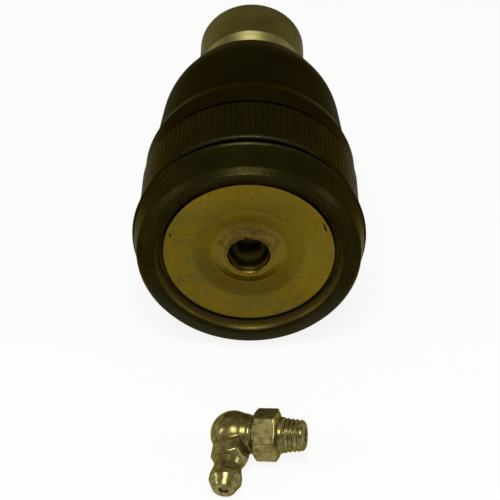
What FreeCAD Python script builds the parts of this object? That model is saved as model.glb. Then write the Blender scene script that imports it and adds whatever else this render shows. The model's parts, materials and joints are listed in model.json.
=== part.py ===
import FreeCAD, Part
import math
import os

from FreeCAD import Vector

# Greasable suspension ball joint that presses into a control arm, with its loose elbow grease fitting.
# Millimetres. The joint lies on its side: +Y runs along its axis from the cover to the stud's free end,
# +Z is up and the origin is the centre of the ball. The fitting lies on the same floor, before the cover.

# Ball and its two bearings
ball_r = 15.0
ball_flat_cut = 0.8       # height of the cap cut off under the ball
ball_play = 0.1           # grease gap between the ball and its seats
groove_r = 0.8            # grease grooves in the seats
groove_planes = 3         # each plane through the axis makes two grooves
groove_start = 18.0       # degrees away from the axis
groove_end = 95.0
race_start = 0.4          # upper bearing, from the ball's centre
race_drop = 8.0           # its end below the top of the ball
race_core = 3.0           # bored before the spherical seat is cut
race_wall = 4.0           # of both bearings at the ball's widest
pad_end = -1.0            # pressure pad's rim
pad_floor = 1.5           # under the ball
pad_hole_r = 6.0
pad_play = 0.1            # the pad turns and slides in the bore
pad_chamfer = 0.8

# Housing, outwards from the bore
nose_wall = 1.9
nose_height = 3.2         # above the upper bearing
nose_mouth = 0.6          # wider than the ball
mouth_play = 0.35         # step from the bearing's opening to the nose's
nose_clear = 8.7          # the band ends this far below the nose
band_wall = 5.05
band_chamfer = 0.5
relief_depth = 0.75       # undercut between the flange and the band
flange_step = 1.05        # flange beyond the band
flange_round = 0.8
flange_shoulder_round = 2.0
tooth_count = 112
tooth_depth = 0.3
tooth_width = 0.33        # of a groove at the band's surface

# Rolled lip that holds the cover, along the axis from the cover's face
flange_back = 6.2
flange_front = 5.4
relief_back = 8.8
band_back = 9.3
cover_bite = 1.55         # the cover's edge beyond the bore
cover_edge_play = 0.05
cover_edge_thick = 1.5
lip_hold = 1.15           # the lip over the cover's edge
lip_shoulder = 0.9
lip_shoulder_step = 4.35  # out from the lip's inner wall
lip_crest = 2.95
lip_crest_step = 2.9
lip_wall_top = 1.6
lip_inner_round = 0.9
lip_crest_round = 1.0
lip_outer_round = 1.2

# Cover
pan_gap = 1.0             # trench between the cover and the lip
pan_height = 1.4          # pan above the clamped edge
pan_thick = 1.7
pan_round = 0.4
pan_wall = 1.8
pan_inner_chamfer = 0.4
dish_r = 11.8             # the face dips from here to the foot of its boss
dish_round = 2.0
dish_drop = 0.7
boss_foot_r = 8.2
boss_foot_round = 0.6
boss_r = 5.5
boss_rise = 0.6
boss_round = 1.2
mouth_r = 4.6             # of the grease hole in the boss
mouth_round = 0.4
well_r = 3.95
well_drop = 1.2
throat_r = 3.4
throat_drop = 1.2
throat_chamfer = 0.4
grease_hole_r = 2.75
spout_r = 4.9             # extruded collar that carries the thread
spout_round = 0.6
spout_height = 5.4

# Cone spring washer under the pad
washer_room = 4.5         # between the cover's face and the pad
washer_inner_r = 8.6
washer_edge_gap = 0.3
washer_thick = 1.1
washer_play = 0.05

# Boot and its retaining ring
ring_gap = 0.4            # dark line between the band and the ring
ring_wall = 0.9
ring_over = 0.5           # ring's mouth above the nose
ring_lip = 1.45           # mouth outside the nose
ring_step = 1.35          # ring outside its mouth
ring_taper = 3.0          # height over which the ring narrows to its mouth
ring_taper_step = 0.8
ring_round = 2.0
seat_gap = 0.05
boot_wall = 2.1
boot_base_step = 0.6      # straight part of the boot above the ring's mouth
boot_inner_step = 2.2     # the same inside, above the nose
boot_foot_gap = 0.5       # between the bead's top and the nose
boot_waist_in = 1.6       # waist inside the base
boot_waist_height = 19.5  # above the ring
boot_bend = 34.0          # radius of the long curve up to the rim
boot_rim_in = 4.6
boot_rim_height = 26.7
boot_rim_round = 1.2
boot_inner_rim_in = 1.5
boot_inner_waist_drop = 0.3
boot_neck_wall = 1.5
boot_neck_step = 1.8      # foot of the neck above the rim
boot_neck_height = 4.2
bush_under = 1.0          # bush starts below the neck's foot
bush_over = 0.2
bush_wall = 1.5
bush_play = 0.1
clamp_height = 2.2        # above the neck's foot
clamp_wire_r = 0.7
clamp_play = 0.12
clamp_stand = 0.1         # wire's centre beyond the neck's surface

# Stud
neck_r = 8.2              # just above the ball
neck_sink = 1.0           # foot of the taper inside the ball
neck_fillet = 1.5
collar_r = 9.6            # where the boot's neck sits
collar_under = 4.2        # collar starts below the bush
cone_over = 2.3           # cone starts above the bush
cone_length = 3.5
shank_r = 13.15
shank_length = 13.6
shank_chamfer = 0.9
centre_hole_r = 1.6

# Loose elbow grease fitting, in its own frame: thread along +X, nipple along -Y
fitting_x = -2.7
fitting_y = -53.7
fitting_yaw = 9.0         # degrees, turns the thread towards the viewer
elbow_r = 4.8
elbow_neck_r = 3.6
hex_flats = 9.525
hex_start = 3.9
hex_width = 3.9
hex_bevel = 30.0          # degrees
shank_root_r = 3.9
taper_start = 9.5
taper_r = 3.3
tip_r = 3.05
tip_end = 14.4
tip_chamfer = 0.6
passage_r = 1.3
arm_flats = 7.0
arm_end = 6.9
arm_bevel_r = 3.1
arm_bevel = 1.1
stem_r = 2.2
stem_start = 2.9
nipple_neck_r = 2.75
nipple_neck = 8.3
head_r = 3.3
head_start = 10.6
head_end = 11.6
nipple_face_r = 2.2
nipple_face = 13.7
valve_bore_r = 1.45
check_r = 1.25
check_hole_r = 1.0
check_play = 0.03
check_seat = 0.55         # the seat's edge below the nipple's face
valve_bore_start = 5.2
spring_wire_r = 0.16
spring_coil_r = 1.1
spring_turns = 6
spring_touch_r = 0.75     # where the last turn bears on the ball

# Rounds shared by several edges, and how far a cut runs on past a surface
fine_round = 0.2
small_round = 0.3
edge_round = 0.5
soft_round = 0.8
over = 1.0

axis = Vector(0, 1, 0)
centre = Vector(0, 0, 0)

# Radii that follow from the ball, outwards
bore_r = ball_r + race_wall
nose_r = bore_r + nose_wall
nose_mouth_r = ball_r + nose_mouth
band_r = bore_r + band_wall
relief_r = band_r - relief_depth
flange_r = band_r + flange_step
cover_edge_r = bore_r + cover_bite
lip_r = cover_edge_r - lip_hold
pan_r = lip_r - pan_gap
pan_inner_r = pan_r - pan_wall
washer_outer_r = pan_inner_r - washer_edge_gap
ring_mouth_r = nose_r + ring_lip
ring_r = ring_mouth_r + ring_step
boot_base_r = ring_mouth_r - seat_gap
boot_waist_r = boot_base_r - boot_waist_in
boot_rim_r = boot_base_r - boot_rim_in
neck_in = collar_r + bush_play + bush_wall + bush_play
neck_out = neck_in + boot_neck_wall

# Heights along the axis, first from the ball to the cover, then to the stud's end
pad_base = -ball_r - pad_floor
cover_front = pad_base - washer_room
cover_seat = cover_front + pan_height + cover_edge_thick
relief_start = cover_front + flange_back
relief_end = cover_front + relief_back
band_start = cover_front + band_back
race_end = ball_r - race_drop
nose_end = race_end + nose_height
band_end = nose_end - nose_clear
ring_end = nose_end + ring_over
boot_waist = ring_end + boot_waist_height
boot_rim = ring_end + boot_rim_height
boot_neck_foot = boot_rim + boot_neck_step
boot_neck_end = boot_neck_foot + boot_neck_height
bush_start = boot_neck_foot - bush_under
bush_end = boot_neck_end + bush_over
clamp_y = boot_neck_foot + clamp_height
collar_start = bush_start - collar_under
cone_start = bush_end + cone_over
cone_end = cone_start + cone_length
shank_end = cone_end + shank_length
floor_z = -flange_r


def unit(vector):
    return vector * (1.0 / vector.Length)


def outline(corners):
    # closed wire through corners (across, along, round), each rounded by an arc where round is given
    points = [Vector(corner[0], corner[1], 0) for corner in corners]
    rounds = [corner[2] if len(corner) > 2 else 0.0 for corner in corners]
    count = len(points)
    starts, ends, arcs = [], [], []
    for i in range(count):
        back = points[i - 1] - points[i]
        ahead = points[(i + 1) % count] - points[i]
        if rounds[i] <= 0:
            starts.append(points[i])
            ends.append(points[i])
            arcs.append(None)
            continue
        half = back.getAngle(ahead) / 2
        reach = min(rounds[i] / math.tan(half), 0.48 * back.Length, 0.48 * ahead.Length)
        radius = reach * math.tan(half)
        inward = unit(unit(back) + unit(ahead))
        middle = points[i] + inward * (radius / math.sin(half) - radius)
        starts.append(points[i] + unit(back) * reach)
        ends.append(points[i] + unit(ahead) * reach)
        arcs.append(Part.Arc(starts[i], middle, ends[i]).toShape())
    edges = []
    for i in range(count):
        if arcs[i] is not None:
            edges.append(arcs[i])
        a, b = ends[i], starts[(i + 1) % count]
        if a.distanceToPoint(b) > 1e-7:
            edges.append(Part.LineSegment(a, b).toShape())
    return Part.Wire(edges)


def turned(corners):
    # ring or disc turned about the joint's axis, corners given as (radius, along the axis, round)
    return Part.Face(outline(corners)).revolve(centre, axis, 360)


def rod(radius, start, end, direction=axis, at=centre):
    return Part.makeCylinder(radius, end - start, at + direction * start, direction)


def hexagon(flats, start, end, direction, face_towards):
    # prism along direction, with the middle of one face towards face_towards
    side = direction.cross(face_towards)
    corner_r = flats / math.sqrt(3)
    turn = [math.radians(60 * k + 30) for k in range(7)]
    points = [
        direction * start + face_towards * (corner_r * math.cos(a)) + side * (corner_r * math.sin(a))
        for a in turn
    ]
    return Part.Face(Part.makePolygon(points)).extrude(direction * (end - start))


def grease_grooves(pole, first, last):
    # shallow grooves down a spherical seat, from first to last in degrees away from the pole
    seat_r = ball_r + ball_play
    grooves = []
    for k in range(2 * groove_planes):
        a = math.pi * k / groove_planes
        out = Vector(math.cos(a), 0, math.sin(a))
        hinge = pole.cross(out)
        section = Part.Face(Part.Wire(Part.makeCircle(groove_r, pole * seat_r, out)))
        section.rotate(centre, hinge, first)
        grooves.append(section.revolve(centre, hinge, last - first))
    return grooves


def seat_ball():
    return Part.makeSphere(ball_r + ball_play)


def opening_r(y):
    # radius of the spherical seat at height y above the ball's centre
    return math.sqrt((ball_r + ball_play) ** 2 - y ** 2)


def make_housing():
    pocket_r = cover_edge_r + cover_edge_play
    lip_under = cover_front + pan_height
    body = turned([
        (lip_r, lip_under),
        (pocket_r, lip_under),
        (pocket_r, cover_seat),
        (bore_r, cover_seat),
        (bore_r, race_end),
        (opening_r(race_end) + mouth_play, race_end),
        (nose_mouth_r, nose_end, edge_round),
        (nose_r, nose_end, edge_round),
        (nose_r, band_end),
        (band_r - band_chamfer, band_end),
        (band_r, band_end - band_chamfer),
        (band_r, band_start),
        (relief_r, relief_end),
        (relief_r, relief_start),
        (flange_r, relief_start, flange_round),
        (flange_r, cover_front + flange_front, flange_shoulder_round),
        (lip_r + lip_shoulder_step, cover_front - lip_shoulder, lip_outer_round),
        (lip_r + lip_crest_step, cover_front - lip_crest, lip_crest_round),
        (lip_r, cover_front - lip_wall_top, lip_inner_round),
    ])
    # serrations: V grooves along the press band
    depth, half = tooth_depth, tooth_width / 2
    outer = band_r + over
    spread = half * (outer - (band_r - depth)) / depth
    grooves = []
    for k in range(tooth_count):
        a = 2 * math.pi * k / tooth_count
        out = Vector(math.cos(a), 0, math.sin(a))
        side = Vector(-math.sin(a), 0, math.cos(a))
        foot = axis * relief_end
        corners = [
            foot + out * (band_r - depth),
            foot + out * outer + side * spread,
            foot + out * outer - side * spread,
        ]
        blade = Part.Face(Part.makePolygon(corners + corners[:1]))
        grooves.append(blade.extrude(axis * (band_end - relief_end)))
    return body.cut(grooves)


def make_cover():
    back = cover_front + pan_thick
    spout_end = cover_front + spout_height
    well = cover_front + well_drop
    boss = cover_front - boss_rise
    return turned([
        (grease_hole_r, spout_end),
        (grease_hole_r, well + throat_drop + throat_chamfer),
        (throat_r, well + throat_drop),
        (well_r, well, small_round),
        (mouth_r, boss, mouth_round),
        (boss_r, boss, boss_round),
        (boss_foot_r, cover_front + dish_drop, boss_foot_round),
        (dish_r, cover_front, dish_round),
        (pan_r, cover_front, pan_round),
        (pan_r, cover_front + pan_height, fine_round),
        (cover_edge_r, cover_front + pan_height),
        (cover_edge_r, cover_seat),
        (pan_inner_r + pan_inner_chamfer, cover_seat),
        (pan_inner_r, back),
        (spout_r, back, spout_round),
        (spout_r, spout_end),
    ])


def make_spring_washer():
    low = cover_front + pan_thick
    high = pad_base - washer_play
    return turned([
        (washer_outer_r, low),
        (washer_outer_r, low + washer_thick),
        (washer_inner_r, high),
        (washer_inner_r, high - washer_thick),
    ])


def make_pad():
    outer = bore_r - pad_play
    block = turned([
        (pad_hole_r, pad_base),
        (outer - pad_chamfer, pad_base),
        (outer, pad_base + pad_chamfer),
        (outer, pad_end),
        (pad_hole_r, pad_end),
    ])
    return block.cut(seat_ball()).cut(grease_grooves(-axis, groove_start, groove_end))


def make_upper_bearing():
    ring = rod(bore_r, race_start, race_end).cut(rod(ball_r - race_core, race_start - over, race_end + over))
    return ring.cut(seat_ball()).cut(grease_grooves(axis, groove_start, groove_end))


def make_stud():
    pin = turned([
        (0, 0),
        (neck_r, 0),
        (neck_r, ball_r - neck_sink),
        (collar_r, collar_start),
        (collar_r, cone_start, edge_round),
        (shank_r, cone_end, edge_round),
        (shank_r, shank_end - shank_chamfer),
        (shank_r - shank_chamfer, shank_end),
        (centre_hole_r, shank_end),
        (0, shank_end - centre_hole_r),
    ])
    stud = pin.fuse(Part.makeSphere(ball_r))
    joint_y = math.sqrt(ball_r ** 2 - neck_r ** 2)
    meeting = [
        edge for edge in stud.Edges
        if abs(edge.BoundBox.YMin - joint_y) < 0.01 and abs(edge.BoundBox.YMax - joint_y) < 0.01
    ]
    stud = stud.makeFillet(neck_fillet, meeting)
    flat = rod(ball_r, -ball_r - over, ball_flat_cut - ball_r)
    return stud.cut(flat)


def make_boot_ring():
    start = band_end + ring_gap
    inner = nose_r + seat_gap
    return turned([
        (inner, start),
        (ring_r, start, small_round),
        (ring_r, ring_end - ring_taper, ring_round),
        (ring_r - ring_taper_step, ring_end, small_round),
        (ring_mouth_r, ring_end),
        (ring_mouth_r, ring_end - ring_wall),
        (ring_r - ring_taper_step - ring_wall / 2, ring_end - ring_wall),
        (ring_r - ring_wall, ring_end - ring_taper - ring_wall),
        (ring_r - ring_wall, start + ring_wall),
        (inner, start + ring_wall),
    ])


def make_boot():
    bead_start = band_end + ring_gap + ring_wall + seat_gap
    bead_end = ring_end - ring_wall - seat_gap
    bead_r = ring_r - ring_wall - seat_gap
    inner = nose_r + seat_gap
    boot = turned([
        (inner, bead_start),
        (bead_r, bead_start, small_round),
        (bead_r, ring_end - ring_taper - ring_wall),
        (ring_r - ring_taper_step - ring_wall / 2 - seat_gap, bead_end, fine_round),
        (boot_base_r, bead_end),
        (boot_base_r, ring_end + boot_base_step),
        (boot_waist_r, boot_waist, boot_bend),
        (boot_rim_r, boot_rim, boot_rim_round),
        (neck_out, boot_neck_foot, soft_round),
        (neck_out, boot_neck_end, edge_round),
        (neck_in, boot_neck_end, small_round),
        (neck_in, boot_neck_foot - boot_wall, soft_round),
        (boot_rim_r - boot_inner_rim_in, boot_rim - boot_wall, boot_rim_round),
        (boot_waist_r - boot_wall, boot_waist - boot_inner_waist_drop, boot_bend - boot_wall),
        (boot_base_r - boot_wall, nose_end + boot_inner_step),
        (inner, nose_end + boot_foot_gap),
    ])
    groove = Part.makeTorus(neck_out + clamp_stand, clamp_wire_r + clamp_play, axis * clamp_y, axis)
    return boot.cut(groove)


def make_neck_bush():
    inner = collar_r + bush_play
    outer = inner + bush_wall
    return turned([
        (inner, bush_start, fine_round),
        (outer, bush_start, fine_round),
        (outer, bush_end, fine_round),
        (inner, bush_end, fine_round),
    ])


def make_neck_clamp():
    return Part.makeTorus(neck_out + clamp_stand, clamp_wire_r, axis * clamp_y, axis)


# Loose fitting, built in its own frame
thread_way = Vector(1, 0, 0)
arm_way = Vector(0, -1, 0)
up = Vector(0, 0, 1)


def lathe_x(corners):
    # turned about the thread's axis, corners given as (radius, along it, round)
    shape = turned(corners)
    shape.rotate(centre, up, -90)
    return shape


def lathe_arm(corners):
    # turned about the nipple's axis
    shape = turned(corners)
    shape.rotate(centre, up, 180)
    return shape


def hex_bevel_height():
    # height that the bevel takes off the hexagon's corners
    return (hex_flats / math.sqrt(3) - hex_flats / 2) * math.tan(math.radians(hex_bevel))


def make_fitting_body():
    corner_r = hex_flats / math.sqrt(3)
    hex_end = hex_start + hex_width
    bevel = hex_bevel_height()
    crown = lathe_x([
        (0, hex_start),
        (hex_flats / 2, hex_start),
        (corner_r, hex_start + bevel),
        (corner_r, hex_end - bevel),
        (hex_flats / 2, hex_end),
        (0, hex_end),
    ])
    nut = hexagon(hex_flats, hex_start, hex_end, thread_way, arm_way).common(crown)
    screw = lathe_x([
        (0, hex_start),
        (elbow_neck_r, hex_start),
        (shank_root_r, hex_end),
        (taper_r, taper_start, edge_round),
        (tip_r, tip_end - tip_chamfer),
        (tip_r - tip_chamfer, tip_end),
        (0, tip_end),
    ])
    neck = rod(elbow_neck_r, 0, hex_start + over, thread_way)
    arm_corner_r = arm_flats / math.sqrt(3)
    arm_crown = lathe_arm([
        (0, 0),
        (arm_corner_r, 0),
        (arm_corner_r, arm_end - arm_bevel, edge_round),
        (arm_bevel_r, arm_end),
        (0, arm_end),
    ])
    arm = hexagon(arm_flats, 0, arm_end, arm_way, up).common(arm_crown)
    body = Part.makeSphere(elbow_r).fuse([neck, nut, screw, arm])
    body = body.removeSplitter()
    bores = [
        rod(passage_r, 0, tip_end + over, thread_way),
        rod(passage_r, 0, stem_start + over, arm_way),
        rod(stem_r, stem_start, arm_end + over, arm_way),
        Part.makeSphere(passage_r),
    ]
    return body.cut(bores)


def make_nipple():
    seat = nipple_face - check_seat
    return lathe_arm([
        (passage_r, stem_start),
        (stem_r, stem_start),
        (stem_r, arm_end),
        (arm_bevel_r, arm_end),
        (nipple_neck_r, nipple_neck, small_round),
        (head_r, head_start, small_round),
        (head_r, head_end, small_round),
        (nipple_face_r, nipple_face, fine_round),
        (check_hole_r, nipple_face),
        (check_hole_r, seat),
        (valve_bore_r, seat - (valve_bore_r - check_hole_r)),
        (valve_bore_r, valve_bore_start),
        (passage_r, valve_bore_start),
    ])


def check_ball_at():
    # the ball rests against the 45 degree seat behind the hole
    seat = nipple_face - check_seat
    reach = (check_r + check_play) * math.sqrt(2) - check_hole_r
    return seat - reach


def make_check_ball():
    return Part.makeSphere(check_r, arm_way * check_ball_at())


def make_check_spring():
    start = valve_bore_start + spring_wire_r
    end = check_ball_at() - math.sqrt(check_r ** 2 - spring_touch_r ** 2) - spring_wire_r
    pitch = (end - start) / spring_turns
    helix = Part.makeHelix(pitch, end - start, spring_coil_r)
    section = Part.Wire(Part.makeCircle(spring_wire_r, Vector(spring_coil_r, 0, 0), Vector(0, 1, 0)))
    spring = Part.Wire(helix.Edges).makePipeShell([section], True, True)
    spring.rotate(centre, Vector(1, 0, 0), 90)
    spring.translate(arm_way * start)
    return spring


def laid_down(shape):
    # the elbow, the hexagon's lowest corner and the rim of the nipple's head rest on the floor
    droop = math.asin(elbow_r / math.hypot(head_end, head_r)) - math.atan2(head_r, head_end)
    corner_drop = hex_flats / math.sqrt(3) * math.cos(droop)
    corner_at = hex_start + hex_bevel_height()
    rise = math.acos(elbow_r / math.hypot(corner_at, corner_drop)) - math.atan2(corner_at, corner_drop)
    shape.rotate(centre, thread_way, math.degrees(droop))
    shape.rotate(centre, Vector(0, 1, 0), -math.degrees(rise))
    shape.rotate(centre, up, -fitting_yaw)
    shape.translate(Vector(fitting_x, fitting_y, floor_z + elbow_r))
    return shape


pieces = {
    "housing": make_housing(),
    "cover_plate": make_cover(),
    "spring_washer": make_spring_washer(),
    "pressure_pad": make_pad(),
    "upper_bearing": make_upper_bearing(),
    "ball_stud": make_stud(),
    "boot_retaining_ring": make_boot_ring(),
    "dust_boot": make_boot(),
    "neck_bush": make_neck_bush(),
    "neck_clamp": make_neck_clamp(),
    "fitting_elbow": laid_down(make_fitting_body()),
    "fitting_nipple": laid_down(make_nipple()),
    "check_ball": laid_down(make_check_ball()),
    "check_spring": laid_down(make_check_spring()),
}

os.makedirs("parts", exist_ok=True)
for name, shape in pieces.items():
    solid = shape.Solids[0] if len(shape.Solids) == 1 else shape
    solid.exportStep(f"parts/{name}.step")
    points = solid.tessellate(0.05)[0]
    box = FreeCAD.BoundBox()
    for point in points:
        box.add(point)
    print(
        f"{name:20s} solids {len(shape.Solids)} valid {solid.isValid()} volume {solid.Volume:9.1f}",
        f"x {box.XMin:.2f} {box.XMax:.2f} y {box.YMin:.2f} {box.YMax:.2f} z {box.ZMin:.2f} {box.ZMax:.2f}",
    )
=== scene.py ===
import json
import math
import bmesh
import bpy
import numpy as np
from mathutils import Matrix, Vector


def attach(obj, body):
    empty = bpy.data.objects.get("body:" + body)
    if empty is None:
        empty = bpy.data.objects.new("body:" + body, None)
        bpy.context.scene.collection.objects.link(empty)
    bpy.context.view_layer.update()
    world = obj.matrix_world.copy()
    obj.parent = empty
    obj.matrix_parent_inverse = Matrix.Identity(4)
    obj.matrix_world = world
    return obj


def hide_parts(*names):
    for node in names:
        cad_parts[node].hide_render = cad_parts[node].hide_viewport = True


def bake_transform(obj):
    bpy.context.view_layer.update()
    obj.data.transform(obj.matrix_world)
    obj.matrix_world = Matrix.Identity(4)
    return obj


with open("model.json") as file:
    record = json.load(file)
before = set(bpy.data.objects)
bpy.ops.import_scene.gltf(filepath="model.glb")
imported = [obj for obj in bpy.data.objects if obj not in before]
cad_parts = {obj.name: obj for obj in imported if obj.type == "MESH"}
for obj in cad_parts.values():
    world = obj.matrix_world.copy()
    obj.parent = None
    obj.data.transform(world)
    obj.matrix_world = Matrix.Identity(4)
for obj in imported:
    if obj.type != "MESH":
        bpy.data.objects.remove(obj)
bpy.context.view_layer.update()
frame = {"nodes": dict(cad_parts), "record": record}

nodes = frame["nodes"]
mm = 0.001
print("frame loaded")


# Shader arithmetic: a socket that can be added, subtracted, multiplied and raised

class Wire:
    def __init__(self, tree, socket=None):
        self.tree = tree
        self.socket = socket

    def node(self, kind, settings=None, inputs=None, output=0):
        made = self.tree.nodes.new(kind)
        for key, value in (settings or {}).items():
            setattr(made, key, value)
        for key, value in (inputs or {}).items():
            if isinstance(value, Wire):
                self.tree.links.new(value.socket, made.inputs[key])
            else:
                made.inputs[key].default_value = value
        return Wire(self.tree, made.outputs[output] if len(made.outputs) else None)

    def maths(self, operation, first, second=0.0):
        return self.node("ShaderNodeMath", {"operation": operation}, {0: first, 1: second})

    def __add__(self, other):
        return self.maths("ADD", self, other)

    __radd__ = __add__

    def __sub__(self, other):
        return self.maths("SUBTRACT", self, other)

    def __rsub__(self, other):
        return self.maths("SUBTRACT", other, self)

    def __mul__(self, other):
        return self.maths("MULTIPLY", self, other)

    __rmul__ = __mul__

    def __pow__(self, power):
        return self.maths("POWER", self, power)

    def between(self, low, high):
        # 0 below low, 1 above high, smooth between them
        settings = {"interpolation_type": "SMOOTHSTEP"}
        return self.node("ShaderNodeMapRange", settings, {0: self, 1: low, 2: high, 3: 0.0, 4: 1.0})


def newMaterial(name):
    material = bpy.data.materials.new(name)
    material.use_nodes = True
    tree = material.node_tree
    tree.nodes.clear()
    return material, Wire(tree)


def blendColours(wire, share, first, second):
    settings = {"data_type": "RGBA", "blend_type": "MIX"}
    return wire.node("ShaderNodeMix", settings, {0: share, 6: first, 7: second}, output=2)


def colour(red, green, blue):
    return (red, green, blue, 1.0)


def noise(wire, place, scale, detail=4.0, roughness=0.55, stretch=None):
    if stretch:
        place = wire.node("ShaderNodeMapping", {"vector_type": "POINT"}, {0: place, 3: stretch})
    return wire.node("ShaderNodeTexNoise", {}, {0: place, 2: scale, 3: detail, 4: roughness})


def surface(wire, fixed, varying, height, bumpDistance, bumpStrength):
    # principled shader: fixed numbers stay on its sockets, varying ones are linked
    bumpInputs = {"Strength": bumpStrength, "Distance": bumpDistance, "Height": height}
    normal = wire.node("ShaderNodeBump", {}, bumpInputs)
    shader = wire.node("ShaderNodeBsdfPrincipled", {}, {**fixed, **varying, "Normal": normal})
    wire.node("ShaderNodeOutputMaterial", {}, {0: shader})


def objectPlace(wire):
    return wire.node("ShaderNodeTexCoord", {}, {}, output=3)


def axisDistance(wire, place):
    # metres from the joint's axis, and along it
    parts = wire.node("ShaderNodeSeparateXYZ", {}, {0: place})
    x = parts
    y = Wire(wire.tree, parts.socket.node.outputs[1])
    z = Wire(wire.tree, parts.socket.node.outputs[2])
    return (x * x + z * z) ** 0.5, x, y, z


def span(value, rise, fall):
    # 0 before rise, 1 from its end to the start of fall, 0 after that
    return value.between(*rise) * (1.0 - value.between(*fall))


def tinted(wire, share, base, settings, key):
    return blendColours(wire, share, base, colour(*settings[key]))


# Finishes. Colours are linear. A mark's place is a pair in metres: where it starts and where it is full.
# Noise is given as its scale, detail and roughness.

blackSteel = {
    "dark": (0.0125, 0.0102, 0.0020), "brown": (0.0175, 0.0140, 0.0036), "fleck": (0.0250, 0.0210, 0.0092),
    "edge": (0.0085, 0.0068, 0.0014), "edgeHighlight": (0.037, 0.032, 0.016), "wall": (0.074, 0.055, 0.012),
    "lowerLight": (0.036, 0.031, 0.016), "roughness": 0.28, "tint": (0.51, 0.47, 0.30), "bump": 0.00013,
    "marked": True,
}
blackRing = {
    "dark": (0.0105, 0.0086, 0.0012), "brown": (0.0140, 0.0110, 0.0022), "fleck": (0.0165, 0.0135, 0.0030),
    "roughness": 0.38, "tint": (0.46, 0.42, 0.29), "bump": 0.00004, "marked": False,
}
blackMarks = {
    "metallic": 0.55, "cloud": (160.0,), "cloudRange": (0.42, 0.7), "grain": (1700.0,),
    "flecks": (3200.0, 2.0), "fleckRange": (0.50, 0.72), "fleckShare": 0.8,
    # near black in the seam between the band and the boot's ring, and deep in the undercut
    "shadow": (0.0006, 0.0005, 0.0003),
    "seamRim": (0.0229, 0.0232), "seam": ((0.0008, 0.0010), (0.0021, 0.0023)),
    "rim": (0.0235, 0.0239), "groove": ((-0.0151, -0.0148), (-0.0121, -0.0118)),
    # the edges on both sides of the undercut, darker, with a painted highlight on their upper middle
    "edges": ((-0.0161, -0.0157), (-0.0114, -0.0110)), "highlightRise": (0.0, 0.010), "highlightFade": (0.00002, 0.00028),
    "specks": (3000.0, 3.0, 0.6), "speckRange": (0.44, 0.60), "speckFloor": 0.35,
    "bandSide": (-0.0145, -0.0135), "flangeShare": 0.55,
    # the lip's inner wall, and painted light on the lower half of its crest
    "wallRim": (0.0196, 0.0201), "wallEnd": (-0.0200, -0.0196),
    "lowerLightRim": (0.0203, 0.0210), "lowerLightTop": (-0.0170, -0.0020), "lowerLightEnd": (-0.0234, -0.0226), "lowerLightShare": 0.7,
}


def markHousing(wire, place, base, settings):
    m = blackMarks
    out, x, y, z = axisDistance(wire, place)
    # the undercut's edges darker, except their upper middle, where a speckled painted highlight lightens them
    edges = out.between(*m["rim"]) * span(y, *m["edges"])
    specks = noise(wire, place, *m["specks"]).between(*m["speckRange"])
    specks = m["speckFloor"] + (1.0 - m["speckFloor"]) * specks
    wearAndHighlight = z.between(*m["highlightRise"]) * (1.0 - (x * x).between(*m["highlightFade"])) * specks
    wearAndHighlight = wearAndHighlight * (m["flangeShare"] + (1.0 - m["flangeShare"]) * y.between(*m["bandSide"]))
    base = tinted(wire, edges * (1.0 - wearAndHighlight), base, settings, "edge")
    base = tinted(wire, edges * wearAndHighlight, base, settings, "edgeHighlight")
    wall = (1.0 - out.between(*m["wallRim"])) * (1.0 - y.between(*m["wallEnd"]))
    base = tinted(wire, wall, base, settings, "wall")
    # painted light: the lower half of the lip's crest lighter
    lowerLight = out.between(*m["lowerLightRim"]) * (1.0 - z.between(*m["lowerLightTop"])) * (1.0 - y.between(*m["lowerLightEnd"]))
    return tinted(wire, lowerLight * m["lowerLightShare"], base, settings, "lowerLight")


def makeBlackSteel(name, settings):
    m = blackMarks
    material, wire = newMaterial(name)
    place = objectPlace(wire)
    out, x, y, z = axisDistance(wire, place)
    cloud = noise(wire, place, *m["cloud"])
    grain = noise(wire, place, *m["grain"])
    base = tinted(wire, cloud.between(*m["cloudRange"]), colour(*settings["dark"]), settings, "brown")
    fleck = noise(wire, place, *m["flecks"]).between(*m["fleckRange"])
    base = tinted(wire, fleck * m["fleckShare"], base, settings, "fleck")
    shadow = out.between(*m["seamRim"]) * span(y, *m["seam"])
    if settings["marked"]:
        groove = (1.0 - out.between(*m["rim"])) * span(y, *m["groove"])
        shadow = groove.maths("MAXIMUM", groove, shadow)
    base = tinted(wire, shadow, base, m, "shadow")
    if settings["marked"]:
        base = markHousing(wire, place, base, settings)
    rough = settings["roughness"] - 0.12 * cloud + 0.16 * grain
    fixed = {"Metallic": m["metallic"], "Specular IOR Level": 0.0, "Specular Tint": colour(*settings["tint"])}
    height = grain * 0.7 + cloud * 0.3
    surface(wire, fixed, {"Base Color": base, "Roughness": rough}, height, settings["bump"], 0.7)
    return material


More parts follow.
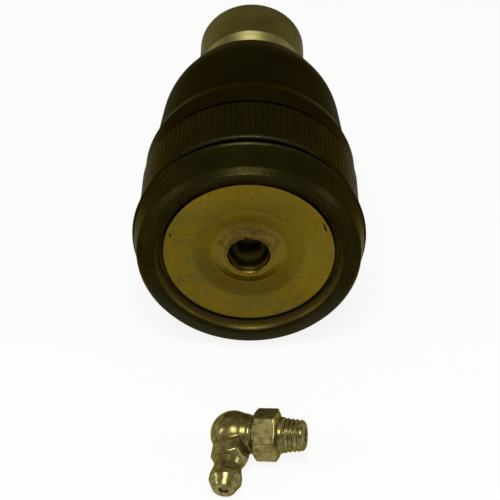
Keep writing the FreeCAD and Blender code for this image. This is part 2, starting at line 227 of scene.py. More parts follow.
goldZinc = {
    "gold": (0.150, 0.098, 0.005), "bright": (0.185, 0.128, 0.010), "olive": (0.108, 0.086, 0.014),
    "brown": (0.100, 0.066, 0.007), "boss": (0.150, 0.103, 0.018), "upperShade": (0.045, 0.031, 0.008),
    "stain": (0.062, 0.044, 0.006), "dirtAndShade": (0.005, 0.0038, 0.0005), "plug": (0.040, 0.033, 0.007),
    "tint": (0.66, 0.55, 0.24), "roughness": 0.33, "bump": 0.00006,
    "cloud": (120.0, 7.0, 0.66), "blotch": (520.0, 6.0, 0.62), "grain": (2600.0, 2.0),
    # gold to olive by cloud and blotch, drifting from the lower right to the upper left
    "toneRange": (0.40, 0.60), "drift": (0.72, 0.60),
    # painted light: brighter top, right side, and patch at the lower right of the boss
    "top": (0.0075, 0.0165), "topShare": 0.8, "side": (0.0105, 0.0160), "sideShare": 0.5,
    "glow": ((0.0030, 0.0110), (0.0125, 0.0165), (-0.0120, -0.0040)), "glowShare": 0.6,
    # brown ring in the dish, strongest at its upper right where shade is painted, and the boss within it
    "ring": ((0.0074, 0.0082), (0.0092, 0.0118)), "ringShadeTurn": (-0.008, 0.006), "ringShares": (0.1, 0.85),
    "bossEdge": (0.0070, 0.0083), "bossShare": 0.75,
    # stains all over, and painted shade in patches on the upper half of the boss, above the hole
    "specks": (1500.0, 5.0, 0.7), "speckRange": (0.48, 0.66), "stainShare": 0.4,
    "upperShadeEdge": (0.0066, 0.0080), "upperShadeRise": (-0.0010, 0.0030), "upperShadeRange": (0.43, 0.55), "upperShadeShare": 0.6,
    # dirt and painted shade in the hole, whose edge is ragged, and behind the lip: lighter where it is deep or
    # far out
    "hole": (0.00405, 0.00435), "ragged": 0.0006, "rim": (0.01845, 0.0186),
    "deep": (-0.0192, -0.0180), "farOut": (0.010, 0.012),
    # small dark nicks: middle (x, z), angle, length and width
    "nicks": [((-0.0165, 0.0050), 60.0, 0.0009, 0.0004), ((0.0159, 0.0073), -72.0, 0.0024, 0.0004),
              ((-0.0006, 0.0046), 90.0, 0.0012, 0.0006)],
}


def nick(x, z, middle, angle, length, width):
    # 1 inside an ellipse of that length and width, 0 outside it
    c, s = math.cos(math.radians(angle)), math.sin(math.radians(angle))
    dx, dz = x - middle[0], z - middle[1]
    along = (dx * c + dz * s) * (2 / length)
    across = (dz * c - dx * s) * (2 / width)
    return 1.0 - (along * along + across * across).between(0.6, 1.4)


def makeGoldZinc(name, settings):
    g = settings
    material, wire = newMaterial(name)
    place = objectPlace(wire)
    out, x, y, z = axisDistance(wire, place)
    cloud, blotch, grain = (noise(wire, place, *g[key]) for key in ("cloud", "blotch", "grain"))
    share = cloud * 0.7 + blotch * 0.3 + g["drift"][1] * z - g["drift"][0] * x
    tone = tinted(wire, share.between(*g["toneRange"]), colour(*g["gold"]), g, "olive")
    # painted light: the top of the cover lighter
    tone = tinted(wire, z.between(*g["top"]) * g["topShare"], tone, g, "bright")
    # brown ring, with painted shade that makes it darkest at its upper right
    least, more = g["ringShares"]
    ring = span(out, *g["ring"]) * (least + more * (x + z).between(*g["ringShadeTurn"]))
    tone = tinted(wire, ring, tone, g, "brown")
    tone = tinted(wire, (1.0 - out.between(*g["bossEdge"])) * g["bossShare"], tone, g, "boss")
    # painted light: the right side, and a patch at the lower right of the boss, lighter
    tone = tinted(wire, x.between(*g["side"]) * g["sideShare"], tone, g, "bright")
    fromLeft, outEnd, fromBelow = g["glow"]
    glow = x.between(*fromLeft) * (1.0 - out.between(*outEnd)) * z.between(*fromBelow)
    tone = tinted(wire, glow * g["glowShare"], tone, g, "bright")
    speck = noise(wire, place, *g["specks"]).between(*g["speckRange"])
    tone = tinted(wire, speck * g["stainShare"], tone, g, "stain")
    # painted shade: patches on the boss above the hole darker
    upperShade = (1.0 - out.between(*g["upperShadeEdge"])) * z.between(*g["upperShadeRise"])
    upperShade = upperShade * (0.6 * blotch + 0.4 * grain).between(*g["upperShadeRange"])
    tone = tinted(wire, upperShade * g["upperShadeShare"], tone, g, "upperShade")
    # dirt and painted shade: the hole and the gap behind the lip near black, lighter where deep or far out
    hole = 1.0 - (out + g["ragged"] * (blotch - 0.5)).between(*g["hole"])
    dirtAndShade = hole.maths("MAXIMUM", hole, out.between(*g["rim"]))
    deep = y.between(*g["deep"])
    light = deep.maths("MAXIMUM", deep, out.between(*g["farOut"]))
    tone = blendColours(wire, dirtAndShade, tone, tinted(wire, light, colour(*g["dirtAndShade"]), g, "plug"))
    for mark in g["nicks"]:
        tone = tinted(wire, nick(x, z, *mark), tone, g, "dirtAndShade")
    rough = g["roughness"] + 0.22 * (blotch - 0.5) + 0.1 * (grain - 0.5) + 0.3 * dirtAndShade
    varying = {"Base Color": tone, "Metallic": 1.0 - dirtAndShade, "Roughness": rough}
    surface(wire, {"Specular IOR Level": 0.0, "Specular Tint": colour(*g["tint"])}, varying,
            grain * 0.45 + blotch * 0.55, g["bump"], 0.5)
    return material


forgedSteel = {"light": (0.152, 0.136, 0.052), "dark": (0.096, 0.084, 0.029), "roughness": 0.43}
turned = {"cloud": (90.0,), "lines": (60.0, 5.0, 0.75), "stretch": (1.0, 90.0, 1.0), "grain": (1800.0, 2.0),
          "range": (0.35, 0.68), "tint": (0.40, 0.38, 0.36), "bump": 0.00002}


def makeForgedSteel(name, settings):
    # turned steel: faint rings round the axis and an oily cloud
    t = turned
    material, wire = newMaterial(name)
    place = objectPlace(wire)
    cloud = noise(wire, place, *t["cloud"])
    lines = noise(wire, place, *t["lines"], stretch=t["stretch"])
    grain = noise(wire, place, *t["grain"])
    share = (cloud * 0.8 + lines * 0.2).between(*t["range"])
    base = tinted(wire, share, colour(*settings["light"]), settings, "dark")
    rough = settings["roughness"] + 0.2 * (lines - 0.5) + 0.1 * (grain - 0.5)
    fixed = {"Metallic": 1.0, "Specular Tint": colour(*t["tint"])}
    height = lines * 0.6 + grain * 0.4
    surface(wire, fixed, {"Base Color": base, "Roughness": rough}, height, t["bump"], 0.4)
    return material


bootRubber = {"dark": (0.0085, 0.0069, 0.0006), "wearAndHighlight": (0.0110, 0.0094, 0.0022), "roughness": 0.42,
              "gloss": 0.0, "sheen": 0.4}
moulded = {"cloud": (70.0,), "grain": (900.0,), "range": (0.4, 0.7), "tint": (0.48, 0.45, 0.30),
           "bump": 0.00003}


def makeRubber(name, settings):
    m = moulded
    material, wire = newMaterial(name)
    place = objectPlace(wire)
    cloud, grain = noise(wire, place, *m["cloud"]), noise(wire, place, *m["grain"])
    base = tinted(wire, cloud.between(*m["range"]), colour(*settings["dark"]), settings, "wearAndHighlight")
    rough = settings["roughness"] + 0.2 * (cloud - 0.5) + 0.16 * (grain - 0.5)
    fixed = {"Metallic": settings["sheen"], "Specular IOR Level": settings["gloss"],
             "Specular Tint": colour(*m["tint"])}
    surface(wire, fixed, {"Base Color": base, "Roughness": rough}, grain, m["bump"], 0.3)
    return material


fittingZinc = {
    "bright": (0.28, 0.242, 0.100), "olive": (0.120, 0.102, 0.034), "roughness": 0.22, "metallic": 0.78,
    "tint": (0.45, 0.42, 0.24), "cloud": (190.0,), "blotch": (900.0,), "range": (0.38, 0.58), "bump": 0.00003,
}


def makeFittingZinc(name, settings):
    f = settings
    material, wire = newMaterial(name)
    place = objectPlace(wire)
    cloud, blotch = noise(wire, place, *f["cloud"]), noise(wire, place, *f["blotch"])
    share = (cloud * 0.5 + blotch * 0.5).between(*f["range"])
    base = tinted(wire, share, colour(*f["bright"]), f, "olive")
    rough = f["roughness"] + 0.16 * (cloud - 0.5)
    fixed = {"Metallic": f["metallic"], "Specular IOR Level": 0.0, "Specular Tint": colour(*f["tint"])}
    surface(wire, fixed, {"Base Color": base, "Roughness": rough}, cloud, f["bump"], 0.4)
    return material


springSteel = {"light": (0.30, 0.29, 0.26), "dark": (0.16, 0.15, 0.13), "roughness": 0.3}
ballSteel = {"light": (0.20, 0.16, 0.07), "dark": (0.12, 0.095, 0.04), "roughness": 0.36}
sinteredSteel = {"light": (0.16, 0.15, 0.13), "dark": (0.08, 0.075, 0.065), "roughness": 0.5}
bushPlastic = {"dark": (0.42, 0.40, 0.32), "wearAndHighlight": (0.36, 0.33, 0.25), "roughness": 0.5,
               "gloss": 0.4, "sheen": 0.0}

finishes = {
    "black_steel": makeBlackSteel("blackSteel", blackSteel),
    "black_ring": makeBlackSteel("blackRing", blackRing),
    "gold_zinc": makeGoldZinc("goldZinc", goldZinc),
    "forged_steel": makeForgedSteel("forgedSteel", forgedSteel),
    "sintered_steel": makeForgedSteel("sinteredSteel", sinteredSteel),
    "spring_steel": makeForgedSteel("springSteel", springSteel),
    "ball_steel": makeForgedSteel("ballSteel", ballSteel),
    "boot_rubber": makeRubber("bootRubber", bootRubber),
    "bush_plastic": makeRubber("bushPlastic", bushPlastic),
    "fitting_zinc": makeFittingZinc("fittingZinc", fittingZinc),
}
print("finishes made:", len(finishes))


# Surfaces

def roundedProfile(corners, closed=True, arcStep=9.0, hold=0.1, runStep=2.5):
    # Each corner (radius, along, round) becomes an arc that touches both of its sides; straight runs get a
    # point close to each end, which keeps them flat under smooth shading. Worked out in millimetres.
    points = np.array([corner[:2] for corner in corners], float)
    rounds = [corner[2] if len(corner) > 2 else 0.0 for corner in corners]
    count = len(points)
    arcs = []
    for i in range(count):
        if rounds[i] <= 0 or (not closed and i in (0, count - 1)):
            arcs.append(points[i:i + 1])
            continue
        back = points[i - 1] - points[i]
        ahead = points[(i + 1) % count] - points[i]
        backLength, aheadLength = np.hypot(*back), np.hypot(*ahead)
        back, ahead = back / backLength, ahead / aheadLength
        half = math.acos(float(np.clip(back @ ahead, -1, 1))) / 2
        reach = min(rounds[i] / math.tan(half), 0.48 * backLength, 0.48 * aheadLength)
        radius = reach * math.tan(half)
        middle = points[i] + (back + ahead) / np.hypot(*(back + ahead)) * radius / math.sin(half)
        start = points[i] + back * reach - middle
        end = points[i] + ahead * reach - middle
        firstAngle = math.atan2(start[1], start[0])
        sweep = (math.atan2(end[1], end[0]) - firstAngle + math.pi) % (2 * math.pi) - math.pi
        steps = max(3, int(abs(math.degrees(sweep)) / arcStep) + 1)
        angles = firstAngle + sweep * np.linspace(0, 1, steps + 1)
        arcs.append(middle + radius * np.column_stack([np.cos(angles), np.sin(angles)]))
    line = []
    for i in range(count if closed else count - 1):
        line.append(arcs[i])
        a, b = arcs[i][-1], arcs[(i + 1) % count][0]
        length = float(np.hypot(*(b - a)))
        if length > 4 * hold:
            pieces = max(1, int(length / runStep))
            shares = np.concatenate([[hold / length], np.arange(1, pieces) / pieces, [1 - hold / length]])
            line.append(a + shares[:, None] * (b - a))
    if not closed:
        line.append(arcs[-1])
    return np.vstack(line)


def gridFaces(rows, columns, closeRows, closeColumns):
    # quads of a grid of rows x columns points, joined round where it closes
    i = np.arange(rows if closeRows else rows - 1)
    j = np.arange(columns if closeColumns else columns - 1)
    i, j = [part.ravel() for part in np.meshgrid(i, j, indexing="ij")]
    nextI, nextJ = (i + 1) % rows, (j + 1) % columns
    return np.column_stack([i * columns + j, nextI * columns + j, nextI * columns + nextJ, i * columns + nextJ])


def closedMesh(name, shells, unit, gap):
    # one mesh from closed shells given as (points in mm, faces): doubled points merged, normals outward
    mesh = bpy.data.meshes.new(name)
    starts = np.cumsum([0] + [len(points) for points, faces in shells])
    points = np.vstack([points for points, faces in shells]) * unit
    faces = np.vstack([faces + start for (points, faces), start in zip(shells, starts)])
    mesh.from_pydata(points.tolist(), [], faces.tolist())
    work = bmesh.new()
    work.from_mesh(mesh)
    bmesh.ops.remove_doubles(work, verts=work.verts, dist=gap)
    bmesh.ops.dissolve_degenerate(work, edges=work.edges, dist=gap / 10)
    bmesh.ops.recalc_face_normals(work, faces=work.faces)
    work.to_mesh(mesh)
    work.free()
    return mesh


def newPiece(name, shells, finish, sharp=32.0):
    mesh = closedMesh(name, shells, mm, 1e-7)
    mesh.shade_smooth()
    mesh.set_sharp_from_angle(angle=math.radians(sharp))
    mesh.materials.append(finishes[finish])
    piece = bpy.data.objects.new(name, mesh)
    bpy.context.scene.collection.objects.link(piece)
    return piece


def turnedShell(profile, segments=256, closed=True, shape=None):
    # point(i, a) = (r cos a, y, r sin a) with (r, y) from the profile; shape(r, y, a) may change r.
    # segments is a count of even steps, or the list of angles itself
    angles = np.arange(segments) * 2 * math.pi / segments if isinstance(segments, int) else segments
    segments = len(angles)
    radius = np.repeat(profile[:, :1], segments, axis=1)
    along = np.repeat(profile[:, 1:2], segments, axis=1)
    around = np.repeat(angles[None, :], len(profile), axis=0)
    if shape is not None:
        radius = shape(radius, along, around)
    grid = np.stack([radius * np.cos(around), along, radius * np.sin(around)], axis=-1)
    return grid.reshape(-1, 3), gridFaces(len(profile), segments, closed, True)


def dress(node, finish):
    node = nodes[node]
    node.data.materials.clear()
    node.data.materials.append(finishes[finish])


# Housing: flange, undercut, serrated press band, nose and rolled lip

housing = {
    "lipRadius": 19.4, "lipWallTop": -22.6, "crest": (22.3, -23.95, 1.0), "shoulder": (23.75, -21.9, 1.2),
    "pocketRadius": 20.6, "lipUnder": -19.6, "coverSeat": -18.1, "bore": 19.0,
    "flange": [(25.1, -15.2, 0.35), (25.1, -15.6, 0.3), (24.75, -16.0, 0.6)],
    "undercutRadius": 23.3, "undercut": (-14.8, -12.2),
    "bandRadius": 24.05, "band": (-11.7, 1.5), "teeth": 112, "toothDepth": 0.15, "toothWidth": 0.34,
    "collar": 0.7,
    "noseRadius": 20.9, "noseEnd": 10.2, "noseMouth": 15.6, "raceEnd": 7.0, "raceMouth": 13.73,
}


def makeHousing():
    h = housing
    start, end = h["band"]
    profile = roundedProfile([
        (h["lipRadius"], h["lipUnder"]),
        (h["pocketRadius"], h["lipUnder"]),
        (h["pocketRadius"], h["coverSeat"]),
        (h["bore"], h["coverSeat"]),
        (h["bore"], h["raceEnd"]),
        (h["raceMouth"], h["raceEnd"]),
        (h["noseMouth"], h["noseEnd"], 0.5),
        (h["noseRadius"], h["noseEnd"], 0.5),
        (h["noseRadius"], end),
        (h["bandRadius"] - 0.5, end, 0.15),
        (h["bandRadius"], end - 0.5, 0.3),
        (h["bandRadius"], start + h["collar"]),
        (h["bandRadius"], start, 0.45),
        (h["undercutRadius"], h["undercut"][1], 0.3),
        (h["undercutRadius"], h["undercut"][0], 0.3),
        *h["flange"],
        h["shoulder"],
        h["crest"],
        (h["lipRadius"], h["lipWallTop"], 2.2),
    ])
    spacing = 2 * math.pi / h["teeth"]

    def serrated(radius, along, around):
        # V grooves: depth falls in proportion to the distance from each groove's middle
        offset = np.abs((around + spacing / 2) % spacing - spacing / 2) * h["bandRadius"]
        depth = h["toothDepth"] * np.clip(1 - offset / (h["toothWidth"] / 2), 0, 1)
        inBand = (along > start + h["collar"] + 0.05) & (along < end - 0.05)
        outside = radius > h["undercutRadius"] + 0.2
        return np.where(inBand & outside, np.minimum(radius, h["bandRadius"] - depth), radius)

    # four angles to a tooth: its groove's middle, both edges, and halfway to the next
    edge = h["toothWidth"] / 2 / h["bandRadius"]
    toothSteps = np.array([0, edge, spacing / 2, spacing - edge])
    angles = (np.arange(h["teeth"])[:, None] * spacing + toothSteps).ravel()
    piece = newPiece("housingBody", [turnedShell(profile, angles, True, serrated)], "black_steel", 40)
    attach(piece, "housing")
    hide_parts("housing")


makeHousing()
print("housing made")


# Cover: dished plate with its funnel and the tapped hole

cover = {
    "front": -21.0, "holeRadius": 2.75, "throat": (3.4, -18.6), "chamfer": 0.4, "well": (3.95, -19.8),
    "mouthRadius": 4.6, "bossRadius": 5.5, "bossTop": -21.6, "bossFoot": (8.2, -20.3),
    "dishRadius": 11.8, "radius": 18.4, "height": 1.4, "thick": 1.7,
    "edgeRadius": 20.55, "edgeThick": 1.5, "innerRadius": 16.6, "spoutRadius": 4.9, "spoutEnd": -15.6,
}


def makeCover():
    c = cover
    front = c["front"]
    back, seat = front + c["thick"], front + c["height"] + c["edgeThick"]
    profile = roundedProfile([
        (c["holeRadius"], c["spoutEnd"]),
        (c["holeRadius"], c["throat"][1] + c["chamfer"]),
        (*c["throat"], 0.2),
        (*c["well"], 0.3),
        (c["mouthRadius"], c["bossTop"], 0.4),
        (c["bossRadius"], c["bossTop"], 1.2),
        (*c["bossFoot"], 0.6),
        (c["dishRadius"], front, 4.0),
        (c["radius"], front, 0.4),
        (c["radius"], front + c["height"], 0.2),
        (c["edgeRadius"], front + c["height"]),
        (c["edgeRadius"], seat),
        (c["innerRadius"] + 0.4, seat),
        (c["innerRadius"], back),
        (c["spoutRadius"], back, 0.6),
        (c["spoutRadius"], c["spoutEnd"]),
    ])
    piece = newPiece("coverDisc", [turnedShell(profile, 288)], "gold_zinc")
    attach(piece, "housing")
    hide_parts("cover_plate")


makeCover()
print("cover made")


# Stud: ball, neck, cone and plain shank

stud = {
    "ball": 15.0, "flat": 14.2, "neck": 8.2, "neckFillet": (0.45, 1.1), "collar": 9.6, "collarStart": 34.0,
    "collarRound": 8.0, "cone": (45.9, 49.4), "shank": 13.15, "end": 63.0, "chamfer": 0.9, "centreHole": 1.6,
}


def makeStud():
    s = stud
    low = math.asin(s["flat"] / s["ball"])
    filletOut, filletUp = s["neckFillet"]
    high = math.acos((s["neck"] + filletOut) / s["ball"])
    bend = np.linspace(-low, high, 64)
    ball = np.column_stack([s["ball"] * np.cos(bend), s["ball"] * np.sin(bend)])
    upper = roundedProfile([
        (s["neck"], s["ball"] * math.sin(high) + filletUp),
        (s["collar"], s["collarStart"], s["collarRound"]),
        (s["collar"], s["cone"][0], 0.5),
        (s["shank"], s["cone"][1], 0.5),
        (s["shank"], s["end"] - s["chamfer"], 0.15),
        (s["shank"] - s["chamfer"], s["end"], 0.15),
        (s["centreHole"], s["end"], 0.1),
        (0.0, s["end"] - s["centreHole"]),
    ], closed=False)
    flat = np.column_stack([np.linspace(0, ball[0, 0] - 0.1, 8), np.full(8, -s["flat"])])
    piece = newPiece("studBody", [turnedShell(np.vstack([flat, ball, upper]), 288, False)], "forged_steel")
    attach(piece, "stud")
    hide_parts("ball_stud")


makeStud()
print("stud made")


# Retaining ring of the boot

ring = {"start": 1.9, "end": 10.7, "inner": 20.95, "radius": 23.7, "wall": 0.9, "mouth": 22.35,
        "taper": 3.0, "taperStep": 0.8}


def makeRing():
    r = ring
    profile = roundedProfile([
        (r["inner"], r["start"]),
        (r["radius"], r["start"], 0.35),
        (r["radius"], r["end"] - r["taper"], 2.0),
        (r["radius"] - r["taperStep"], r["end"], 0.3),
        (r["mouth"], r["end"]),
        (r["mouth"], r["end"] - r["wall"]),
        (r["radius"] - r["taperStep"] - r["wall"] / 2, r["end"] - r["wall"]),
        (r["radius"] - r["wall"], r["end"] - r["taper"] - r["wall"]),
        (r["radius"] - r["wall"], r["start"] + r["wall"]),
        (r["inner"], r["start"] + r["wall"]),
    ])
    piece = newPiece("bootRing", [turnedShell(profile, 256)], "black_ring")
    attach(piece, "housing")
    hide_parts("boot_retaining_ring")


makeRing()


# Rubber boot

boot = {
    "beadStart": 2.85, "beadStep": 6.8, "beadEnd": 9.75, "beadRadius": 22.75, "beadTop": 22.4, "inner": 20.95,
    "base": 22.3, "baseTop": 11.3,
    "waist": 20.7, "waistAt": 30.2, "bend": 34.0, "rim": 17.7, "rimAt": 37.4, "rimRound": 1.2,
    "neckIn": 11.3, "neckOut": 12.8, "neckFoot": 39.2, "neckEnd": 43.4, "wall": 2.1,
    "rimInset": 1.5, "waistDrop": 0.3, "liningStart": 12.4, "mouth": 10.7,
}


def makeBoot():
    b = boot
    wall = b["wall"]
    profile = roundedProfile([
        (b["inner"], b["beadStart"]),
        (b["beadRadius"], b["beadStart"], 0.3),
        (b["beadRadius"], b["beadStep"]),
        (b["beadTop"], b["beadEnd"], 0.1),
        (b["base"], b["beadEnd"], 0.1),
        (b["base"], b["baseTop"], 0.6),
        (b["waist"], b["waistAt"], b["bend"]),
        (b["rim"], b["rimAt"], b["rimRound"]),
        (b["neckOut"], b["neckFoot"], 0.8),
        (b["neckOut"], b["neckEnd"], 0.5),
        (b["neckIn"], b["neckEnd"], 0.3),
        (b["neckIn"], b["neckFoot"] - wall, 0.8),
        (b["rim"] - b["rimInset"], b["rimAt"] - wall, 1.2),
        (b["waist"] - wall, b["waistAt"] - b["waistDrop"], b["bend"] - wall),
        (b["base"] - wall, b["liningStart"]),
        (b["inner"], b["mouth"]),
    ], arcStep=3.0)
    piece = newPiece("bootRubber", [turnedShell(profile, 256)], "boot_rubber")
    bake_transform(piece)
    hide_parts("dust_boot")


makeBoot()
print("ring and boot made")


# Loose elbow fitting, built with its thread along +X and its nipple along -Y, then laid on the floor

fitting = {
    "place": (-2.7, -53.7, -25.1 + 4.8), "droop": 7.573, "rise": 7.958, "yaw": 9.0,
    "ball": 4.8, "neck": [(4.35, 1.7), (4.2, 3.0), (3.9, 3.7), (4.0, 4.2), (4.7, 5.0)],
    "flats": 9.525, "cornerRound": 36.0, "backCone": (3.7, 3.95, 0.58), "frontCone": (3.75, 9.65, 0.42),
    "crestRadius": (3.80, 3.72, 3.42, 3.25, 3.18), "crestAt": (8.6, 10.0, 11.7, 13.5, 14.1),
    "tip": [(2.95, 14.5, 0.5), (2.4, 14.8, 0.3)], "passage": 1.3, "throat": 12.0, "root": (3.0, 1.0),
    "edgePower": 60,
    "pitch": 0.907, "threadDepth": 0.24, "threadFade": [(9.9, 0), (10.8, 1), (13.9, 1), (14.3, 0)],
    "armFlats": 7.0, "armStart": 0.5, "armEnd": 6.9, "armBevelRadius": 3.1, "armBevel": 1.1,
    "nippleNeck": (2.75, 8.3), "head": (3.3, 10.6, 11.6), "face": (2.2, 13.7), "hole": 1.0, "seat": 0.55,
    "valveBore": 1.45, "valveStart": 5.2, "stem": (2.2, 2.9),
    "skin": 0.13, "skinPasses": 16,
}


def turnedAbout(points, way):
    # from a shape turned about +Y to one turned about +X or -Y
    x, y, z = points[:, 0], points[:, 1], points[:, 2]
    return np.column_stack([y, -x, z] if way == "x" else [-x, -y, z])


def laidDown(points):
    # droop about X, rise about Y, yaw about Z, then move to its place on the floor
    f = fitting
    turn = (Matrix.Rotation(math.radians(-f["yaw"]), 3, "Z")
            @ Matrix.Rotation(math.radians(-f["rise"]), 3, "Y")
            @ Matrix.Rotation(math.radians(f["droop"]), 3, "X"))
    return points @ np.array(turn).T + np.array(f["place"])


def hexRadius(flats, around, middle):
    # hexagon with softened corners: flats / 2 / (sum of |cos(angle to a side)| ** power) ** (1 / power)
    power = fitting["cornerRound"]
    total = sum(np.abs(np.cos(around - middle - k * math.pi / 3)) ** power for k in range(3))
    return flats / 2 / total ** (1 / power)


def softened(shells, voxel, passes):
    # one skin round overlapping closed shells, smoothed so that the joins become fillets, as on a forging
    mesh = closedMesh("rough", shells, 1.0, 1e-4)
    rough = bpy.data.objects.new("rough", mesh)
    bpy.context.scene.collection.objects.link(rough)
    skin = rough.modifiers.new("skin", "REMESH")
    skin.mode, skin.voxel_size = "VOXEL", voxel
    fillets = rough.modifiers.new("fillets", "SMOOTH")
    fillets.factor, fillets.iterations = 0.5, passes
    bpy.context.view_layer.update()
    made = rough.evaluated_get(bpy.context.evaluated_depsgraph_get()).to_mesh()
    skinPoints = np.empty(len(made.vertices) * 3)
    made.vertices.foreach_get("co", skinPoints)
    skinFaces = np.array([tuple(face.vertices) for face in made.polygons])
    bpy.data.objects.remove(rough)
    bpy.data.meshes.remove(mesh)
    return skinPoints.reshape(-1, 3), skinFaces


def makeForging():
    # ball, tapering neck and hexagonal arm under one skin
    f = fitting
    bend = np.linspace(-math.pi / 2, math.pi / 2, 49)
    ball = np.column_stack([f["ball"] * np.cos(bend), f["ball"] * np.sin(bend)])
    neckRun = np.array([(0, f["neck"][0][1]), *f["neck"], (0, f["neck"][-1][1])], float)
    neckPoints, neckFaces = turnedShell(neckRun, 96, False)
    armCorner = f["armFlats"] / math.sqrt(3)
    bevelStart = f["armEnd"] - f["armBevel"]
    prism, bevel = np.linspace(f["armStart"], bevelStart, 12), np.linspace(bevelStart, f["armEnd"], 10)
    along = np.concatenate([prism, bevel[1:]])
    limit = np.interp(along, [bevelStart, f["armEnd"]], [armCorner, f["armBevelRadius"]])
    armRun = np.vstack([[(0, f["armStart"])], np.column_stack([limit, along]), [(0, f["armEnd"])]])

    def arm(radius, y, around):
        return np.minimum(radius, hexRadius(f["armFlats"], around, math.pi / 2))

    armPoints, armFaces = turnedShell(armRun, 180, False, arm)
    return softened([
        turnedShell(ball, 96, False),
        (turnedAbout(neckPoints, "x"), neckFaces),
        (turnedAbout(armPoints, "arm"), armFaces),
    ], f["skin"], f["skinPasses"])


def makeHexagon():
    # radius = soft least of the prism's and both bevel cones': (sum of r ** -power) ** (-1 / power)
    f = fitting
    backRadius, backAt, backRun = f["backCone"]
    frontRadius, frontAt, frontRun = f["frontCone"]
    power = f["edgePower"]
    along = np.linspace(backAt, frontAt, 90)
    run = np.vstack([[(0, backAt)], np.column_stack([np.full(90, f["flats"]), along]), [(0, frontAt)]])

    def hexagon(radius, y, around):
        back = backRadius + (y - backAt) / backRun
        front = frontRadius + (frontAt - y) / frontRun
        side = hexRadius(f["flats"], around, 0.0)
        return np.minimum(radius, (side ** -power + back ** -power + front ** -power) ** (-1 / power))

    points, faces = turnedShell(run, 360, False, hexagon)
    return turnedAbout(points, "x"), faces


def makeThread():
    # radius = crest line - depth * (1 - cos(turn)) / 2 with turn = 2 pi x / pitch - a, faded at both ends
    f = fitting
    threadRun = np.linspace(f["crestAt"][0], f["crestAt"][-1], 130)
    thread = np.column_stack([np.interp(threadRun, f["crestAt"], f["crestRadius"]), threadRun])
    inside = [(f["passage"], f["tip"][-1][1], 0.2), (f["passage"], f["throat"])]
    tip = roundedProfile([tuple(thread[-1]), *f["tip"], *inside], closed=False)
    profile = np.vstack([[(f["passage"], f["root"][1])], [f["root"]], thread, tip[1:]])

    def threaded(radius, y, around):
        turn = 2 * math.pi * y / f["pitch"] - around
        fade = np.interp(y, *zip(*f["threadFade"]))
        outside = radius > f["passage"] + 0.1
        return np.where(outside, radius - f["threadDepth"] * fade * (1 - np.cos(turn)) / 2, radius)

    points, faces = turnedShell(profile, 144, True, threaded)
    return turnedAbout(points, "x"), faces


def makeFittingBody():
    shells = [(laidDown(points), faces) for points, faces in (makeForging(), makeHexagon(), makeThread())]
    piece = newPiece("fittingElbow", shells, "fitting_zinc", 30)
    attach(piece, "housing")
    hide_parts("fitting_elbow")


def makeNipple():
    f = fitting
    seat = f["face"][1] - f["seat"]
    profile = roundedProfile([
        (f["passage"], f["stem"][1]),
        (f["stem"][0], f["stem"][1]),
        (f["stem"][0], f["armEnd"]),
        (f["armBevelRadius"], f["armEnd"], 0.1),
        (f["nippleNeck"][0], f["nippleNeck"][1], 0.5),
        (f["head"][0], f["head"][1], 0.3),
        (f["head"][0], f["head"][2], 0.3),
        (f["face"][0], f["face"][1], 0.2),
        (f["hole"], f["face"][1], 0.1),
        (f["hole"], seat),
        (f["valveBore"], seat - (f["valveBore"] - f["hole"])),
        (f["valveBore"], f["valveStart"]),
        (f["passage"], f["valveStart"]),
    ])
    points, faces = turnedShell(profile, 128)
    piece = newPiece("fittingNipple", [(laidDown(turnedAbout(points, "arm")), faces)], "fitting_zinc")
    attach(piece, "housing")
    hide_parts("fitting_nipple")


# Coil spring behind the check ball; each row of its tables is (turns, mm)

valveSpring = {
    "wire": 0.16, "sides": 12, "turns": 6.5, "steps": 40,
    "radius": [(0, 1.28), (1, 1.28), (1.8, 1.1), (5.5, 1.1), (6.5, 0.78)],
    "along": [(0, 5.37), (1, 5.71), (5.5, 10.79), (6.5, 11.14)],
}


def makeValveSpring():
    # centre line (R cos t, y, R sin t) with R(t) and y(t) from the tables, and a circle of wire across it
    v = valveSpring
    sides, rows = v["sides"], int(v["turns"] * v["steps"]) + 1
    turns = np.linspace(0, v["turns"], rows)
    radius = np.interp(turns, *zip(*v["radius"]))
    along = np.interp(turns, *zip(*v["along"]))
    angle = turns * 2 * math.pi
    line = np.column_stack([radius * np.cos(angle), along, radius * np.sin(angle)])
    ahead = np.gradient(line, axis=0)
    ahead /= np.linalg.norm(ahead, axis=1)[:, None]
    out = np.column_stack([np.cos(angle), np.zeros(rows), np.sin(angle)])
    out -= (out * ahead).sum(axis=1)[:, None] * ahead
    out /= np.linalg.norm(out, axis=1)[:, None]
    side = np.cross(ahead, out)
    turn = np.arange(sides)[None, :, None] * 2 * math.pi / sides
    wire = line[:, None] + v["wire"] * (np.cos(turn) * out[:, None] + np.sin(turn) * side[:, None])
    first, last = (np.repeat(end[:, None], sides, axis=1) for end in (line[:1], line[-1:]))
    points = turnedAbout(np.concatenate([first, wire, last]).reshape(-1, 3), "arm")
    faces = gridFaces(rows + 2, sides, False, True)
    piece = newPiece("valveSpring", [(laidDown(points), faces)], "spring_steel")
    ends = laidDown(np.array([(0, -v["along"][1][1], 0), (0, -v["along"][2][1], 0)])) * mm
    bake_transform(piece)
    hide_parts("check_spring")


makeFittingBody()
makeNipple()
makeValveSpring()
print("fitting made")

for row in frame["record"]["subparts"]:
    dress(row["node"], row["material_slot"])
dress("check_ball", "ball_steel")
print("nodes dressed")


# Floor, world, lamps and camera

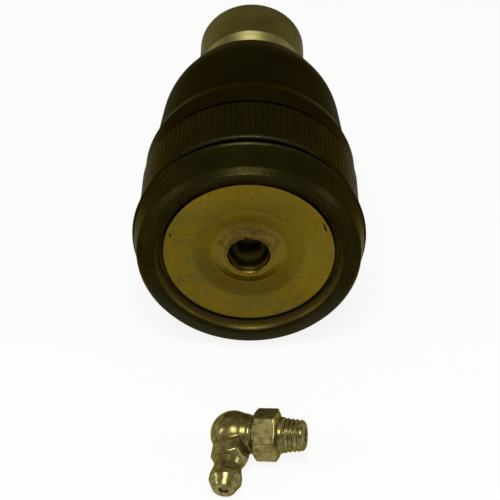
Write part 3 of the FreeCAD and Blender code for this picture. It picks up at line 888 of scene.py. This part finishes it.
studio = {
    "floorZ": -0.0251, "floorSize": 6.0, "floorShare": 0.88,
    "floorTone": (0.86, 0.86, 0.86), "white": (1.0, 1.0, 1.0),
    "worldStrength": 0.6, "ceiling": (0.42, 0.39, 0.30), "ceilingRise": (0.02, 0.42),
    "lamps": [
        # name, place, aim, width, depth, power
        ("frontLamp", (-0.03, -0.295, 0.58), (0, -0.01, 0), 0.26, 0.26, 3.2),
        ("leftLamp", (-0.62, -0.12, 0.26), (0, 0.0, 0), 0.1, 0.25, 0.5),
        ("rightLamp", (0.62, -0.08, 0.26), (0, 0.0, 0), 0.1, 0.25, 0.5),
    ],
    "camera": (0.00233, -0.24997, 0.18834), "right": (0.99996, 0.00913, 0.0),
    "up": (-0.005775, 0.632792, 0.774300), "lens": 100.8, "sensor": 36.0,
}


def whiteForViews(wire):
    # 1 for camera, mirror and glass rays
    path = wire.node("ShaderNodeLightPath")
    outs = path.socket.node.outputs
    camera, glossy, through = (Wire(wire.tree, outs[key]) for key in
                               ("Is Camera Ray", "Is Glossy Ray", "Is Transmission Ray"))
    return camera.maths("MAXIMUM", camera, camera.maths("MAXIMUM", glossy, through))


def makeFloor():
    half, height = studio["floorSize"] / 2, studio["floorZ"]
    corners = [(-half, -half, height), (half, -half, height), (half, half, height), (-half, half, height)]
    mesh = bpy.data.meshes.new("floor")
    mesh.from_pydata(corners, [], [(0, 1, 2, 3)])
    floor = bpy.data.objects.new("floor", mesh)
    bpy.context.scene.collection.objects.link(floor)
    material, wire = newMaterial("floorPaper")
    seen = whiteForViews(wire)
    matt = wire.node("ShaderNodeBsdfDiffuse", {}, {0: colour(*studio["floorTone"])})
    glow = wire.node("ShaderNodeEmission", {}, {0: colour(*studio["white"]), 1: 1.0})
    mixed = wire.node("ShaderNodeMixShader", {}, {0: seen * studio["floorShare"], 1: matt, 2: glow})
    wire.node("ShaderNodeOutputMaterial", {}, {0: mixed})
    mesh.materials.append(material)


def makeWorld():
    world = bpy.data.worlds.new("studioWorld")
    world.use_nodes = True
    tree = world.node_tree
    tree.nodes.clear()
    wire = Wire(tree)
    seen = whiteForViews(wire)
    strength = studio["worldStrength"] + seen * (1.0 - studio["worldStrength"])
    # white for the camera; for light and gloss it falls from white at the horizon to a dim warm ceiling
    direction = wire.node("ShaderNodeTexCoord", {}, {}, output=0)
    parts = wire.node("ShaderNodeSeparateXYZ", {}, {0: direction})
    height = Wire(tree, parts.socket.node.outputs[2])
    plain = wire.node("ShaderNodeLightPath")
    ceiling = height.between(*studio["ceilingRise"]) * (1.0 - plain)
    tone = blendColours(wire, ceiling, colour(*studio["white"]), colour(*studio["ceiling"]))
    background = wire.node("ShaderNodeBackground", {}, {0: tone, 1: strength})
    wire.node("ShaderNodeOutputWorld", {}, {0: background})
    bpy.context.scene.world = world


def makeLamps():
    for name, place, aim, width, depth, power in studio["lamps"]:
        light = bpy.data.lights.new(name, "AREA")
        light.shape = "RECTANGLE"
        light.size, light.size_y, light.energy = width, depth, power
        lamp = bpy.data.objects.new(name, light)
        lamp.location = place
        lamp.rotation_euler = (Vector(aim) - Vector(place)).to_track_quat("-Z", "Y").to_euler()
        bpy.context.scene.collection.objects.link(lamp)


def makeCamera():
    data = bpy.data.cameras.new("camera")
    data.lens, data.sensor_width = studio["lens"], studio["sensor"]
    camera = bpy.data.objects.new("camera", data)
    right, up = Vector(studio["right"]), Vector(studio["up"])
    back = right.cross(up).normalized()
    up = back.cross(right).normalized()
    camera.matrix_world = Matrix([
        (right.x, up.x, back.x, studio["camera"][0]),
        (right.y, up.y, back.y, studio["camera"][1]),
        (right.z, up.z, back.z, studio["camera"][2]),
        (0, 0, 0, 1),
    ])
    bpy.context.scene.collection.objects.link(camera)
    bpy.context.scene.camera = camera


makeFloor()
makeWorld()
makeLamps()
makeCamera()
bpy.context.scene.view_settings.view_transform = "Standard"
print("studio made")
